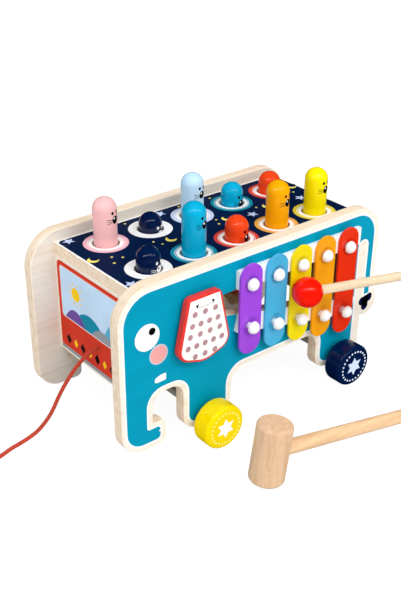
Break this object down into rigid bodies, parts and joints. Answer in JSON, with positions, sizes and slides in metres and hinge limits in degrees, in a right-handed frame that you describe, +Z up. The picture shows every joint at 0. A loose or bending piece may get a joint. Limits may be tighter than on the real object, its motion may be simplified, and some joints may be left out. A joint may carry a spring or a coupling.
{
  "type": "whack-a-mole xylophone toy",
  "caption": "Wooden pull-along elephant toy with pop-up peg moles on see-saws, a side xylophone, swinging ear, wheels, hammer, mallet and pull cord.",
  "frame": {"origin": "on the floor under the middle column of moles, midway between the side panels", "axes": "+X from trunk to tail, +Y from the xylophone side to the far side, +Z up"},
  "size_m": [0.4162, 0.2315, 0.1735],
  "materials": {
    "birch_ply": "sanded plywood, clear coated",
    "pink": "satin paint on turned wood",
    "navy": "satin paint on turned wood",
    "sky_blue": "satin paint on turned wood",
    "teal": "satin paint on turned wood",
    "vermilion": "satin paint on turned wood",
    "orange": "satin paint on turned wood",
    "yellow": "satin paint on turned wood",
    "key_purple": "gloss lacquer",
    "key_blue": "gloss lacquer",
    "key_yellow": "gloss lacquer",
    "key_orange": "gloss lacquer",
    "key_red": "gloss lacquer",
    "white_plastic": "smooth moulded",
    "ear_red": "satin paint on plywood",
    "dark_steel": "drawn rod",
    "beech": "sanded, clear coated",
    "ball_red": "gloss paint on turned wood",
    "cord_red": "braided cotton cord",
    "tie_black": "flat elastic band"
  },
  "bodies": {
    "frame": {"near_side_panel": "birch_ply", "far_side_panel": "birch_ply", "top_board": "birch_ply", "guide_board": "birch_ply", "front_end_board": "birch_ply", "rear_end_board": "birch_ply", "rocker_rod": "dark_steel", "rod_spacers": "birch_ply", "upper_rail": "white_plastic", "lower_rail": "white_plastic", "key_bar_1": "key_purple", "key_bar_2": "key_blue", "key_bar_3": "key_yellow", "key_bar_4": "key_orange", "key_bar_5": "key_red", "upper_key_pins": "white_plastic", "lower_key_pins": "white_plastic", "pull_cord": "cord_red", "cord_coil": "cord_red", "cord_tie": "tie_black", "cord_knot": "cord_red", "pull_bead": "beech", "bead_knot": "cord_red"},
    "rocker_1": {"rocker_1": "birch_ply"},
    "back_mole_1": {"back_mole_1": "pink"},
    "front_mole_1": {"front_mole_1": "navy"},
    "rocker_2": {"rocker_2": "birch_ply"},
    "back_mole_2": {"back_mole_2": "navy"},
    "front_mole_2": {"front_mole_2": "teal"},
    "rocker_3": {"rocker_3": "birch_ply"},
    "back_mole_3": {"back_mole_3": "sky_blue"},
    "front_mole_3": {"front_mole_3": "vermilion"},
    "rocker_4": {"rocker_4": "birch_ply"},
    "back_mole_4": {"back_mole_4": "teal"},
    "front_mole_4": {"front_mole_4": "orange"},
    "rocker_5": {"rocker_5": "birch_ply"},
    "back_mole_5": {"back_mole_5": "vermilion"},
    "front_mole_5": {"front_mole_5": "yellow"},
    "front_wheels": {"front_axle": "dark_steel", "front_axle_spacers": "birch_ply", "near_front_wheel": "yellow", "far_front_wheel": "navy"},
    "rear_wheels": {"rear_axle": "dark_steel", "rear_axle_spacers": "birch_ply", "near_rear_wheel": "navy", "far_rear_wheel": "yellow"},
    "ear": {"ear": "ear_red", "ear_pin": "dark_steel", "ear_pin_cap": "birch_ply"},
    "hammer": {"hammer_head": "beech", "hammer_handle": "beech"},
    "mallet": {"mallet_ball": "ball_red", "mallet_stick": "beech"}
  },
  "joints": [
    {"name": "rocker_1_tilt", "type": "hinge", "parent": "frame", "child": "rocker_1", "pos_m": [-0.08, 0, 0.093], "axis": [1, 0, 0], "range_deg": [-48.4, 8.02]},
    {"name": "back_mole_1_slide", "type": "slide", "parent": "frame", "child": "back_mole_1", "axis": [0, 0, 1], "range_m": [-0.02254, 0.00374]},
    {"name": "front_mole_1_slide", "type": "slide", "parent": "frame", "child": "front_mole_1", "axis": [0, 0, 1], "range_m": [-0.00374, 0.02254]},
    {"name": "rocker_2_tilt", "type": "hinge", "parent": "frame", "child": "rocker_2", "pos_m": [-0.04, 0, 0.093], "axis": [1, 0, 0], "range_deg": [0, 56.42]},
    {"name": "back_mole_2_slide", "type": "slide", "parent": "frame", "child": "back_mole_2", "axis": [0, 0, 1], "range_m": [0, 0.02601]},
    {"name": "front_mole_2_slide", "type": "slide", "parent": "frame", "child": "front_mole_2", "axis": [0, 0, 1], "range_m": [-0.02601, 0]},
    {"name": "rocker_3_tilt", "type": "hinge", "parent": "frame", "child": "rocker_3", "pos_m": [0, 0, 0.093], "axis": [1, 0, 0], "range_deg": [-46.1, 10.32]},
    {"name": "back_mole_3_slide", "type": "slide", "parent": "frame", "child": "back_mole_3", "axis": [0, 0, 1], "range_m": [-0.02147, 0.00481]},
    {"name": "front_mole_3_slide", "type": "slide", "parent": "frame", "child": "front_mole_3", "axis": [0, 0, 1], "range_m": [-0.00481, 0.02147]},
    {"name": "rocker_4_tilt", "type": "hinge", "parent": "frame", "child": "rocker_4", "pos_m": [0.04, 0, 0.093], "axis": [1, 0, 0], "range_deg": [-9.17, 47.25]},
    {"name": "back_mole_4_slide", "type": "slide", "parent": "frame", "child": "back_mole_4", "axis": [0, 0, 1], "range_m": [-0.00427, 0.022]},
    {"name": "front_mole_4_slide", "type": "slide", "parent": "frame", "child": "front_mole_4", "axis": [0, 0, 1], "range_m": [-0.022, 0.00427]},
    {"name": "rocker_5_tilt", "type": "hinge", "parent": "frame", "child": "rocker_5", "pos_m": [0.08, 0, 0.093], "axis": [1, 0, 0], "range_deg": [-8.02, 48.4]},
    {"name": "back_mole_5_slide", "type": "slide", "parent": "frame", "child": "back_mole_5", "axis": [0, 0, 1], "range_m": [-0.00374, 0.02254]},
    {"name": "front_mole_5_slide", "type": "slide", "parent": "frame", "child": "front_mole_5", "axis": [0, 0, 1], "range_m": [-0.02254, 0.00374]},
    {"name": "front_wheels_roll", "type": "hinge", "parent": "frame", "child": "front_wheels", "pos_m": [-0.05375, 0, 0.0175], "axis": [0, 1, 0], "continuous": true},
    {"name": "rear_wheels_roll", "type": "hinge", "parent": "frame", "child": "rear_wheels", "pos_m": [0.0807, 0, 0.0175], "axis": [0, 1, 0], "continuous": true},
    {"name": "ear_swing", "type": "hinge", "parent": "frame", "child": "ear", "pos_m": [-0.0628, -0.0615, 0.1125], "axis": [0, 1, 0], "range_deg": [-8, 35]},
    {"name": "hammer_lift", "type": "slide", "parent": "frame", "child": "hammer", "axis": [0, 0, 1], "range_m": [0, 0.06]},
    {"name": "mallet_stroke", "type": "slide", "parent": "frame", "child": "mallet", "axis": [0, -1, 0], "range_m": [0, 0.04]}
  ],
  "couplings": [
    {"joint": "back_mole_1_slide", "follows": "rocker_1_tilt", "m_per_rad": 0.02668},
    {"joint": "front_mole_1_slide", "follows": "rocker_1_tilt", "m_per_rad": -0.02668},
    {"joint": "back_mole_2_slide", "follows": "rocker_2_tilt", "m_per_rad": 0.02641},
    {"joint": "front_mole_2_slide", "follows": "rocker_2_tilt", "m_per_rad": -0.02641},
    {"joint": "back_mole_3_slide", "follows": "rocker_3_tilt", "m_per_rad": 0.02668},
    {"joint": "front_mole_3_slide", "follows": "rocker_3_tilt", "m_per_rad": -0.02668},
    {"joint": "back_mole_4_slide", "follows": "rocker_4_tilt", "m_per_rad": 0.02668},
    {"joint": "front_mole_4_slide", "follows": "rocker_4_tilt", "m_per_rad": -0.02668},
    {"joint": "back_mole_5_slide", "follows": "rocker_5_tilt", "m_per_rad": 0.02668},
    {"joint": "front_mole_5_slide", "follows": "rocker_5_tilt", "m_per_rad": -0.02668}
  ]
}
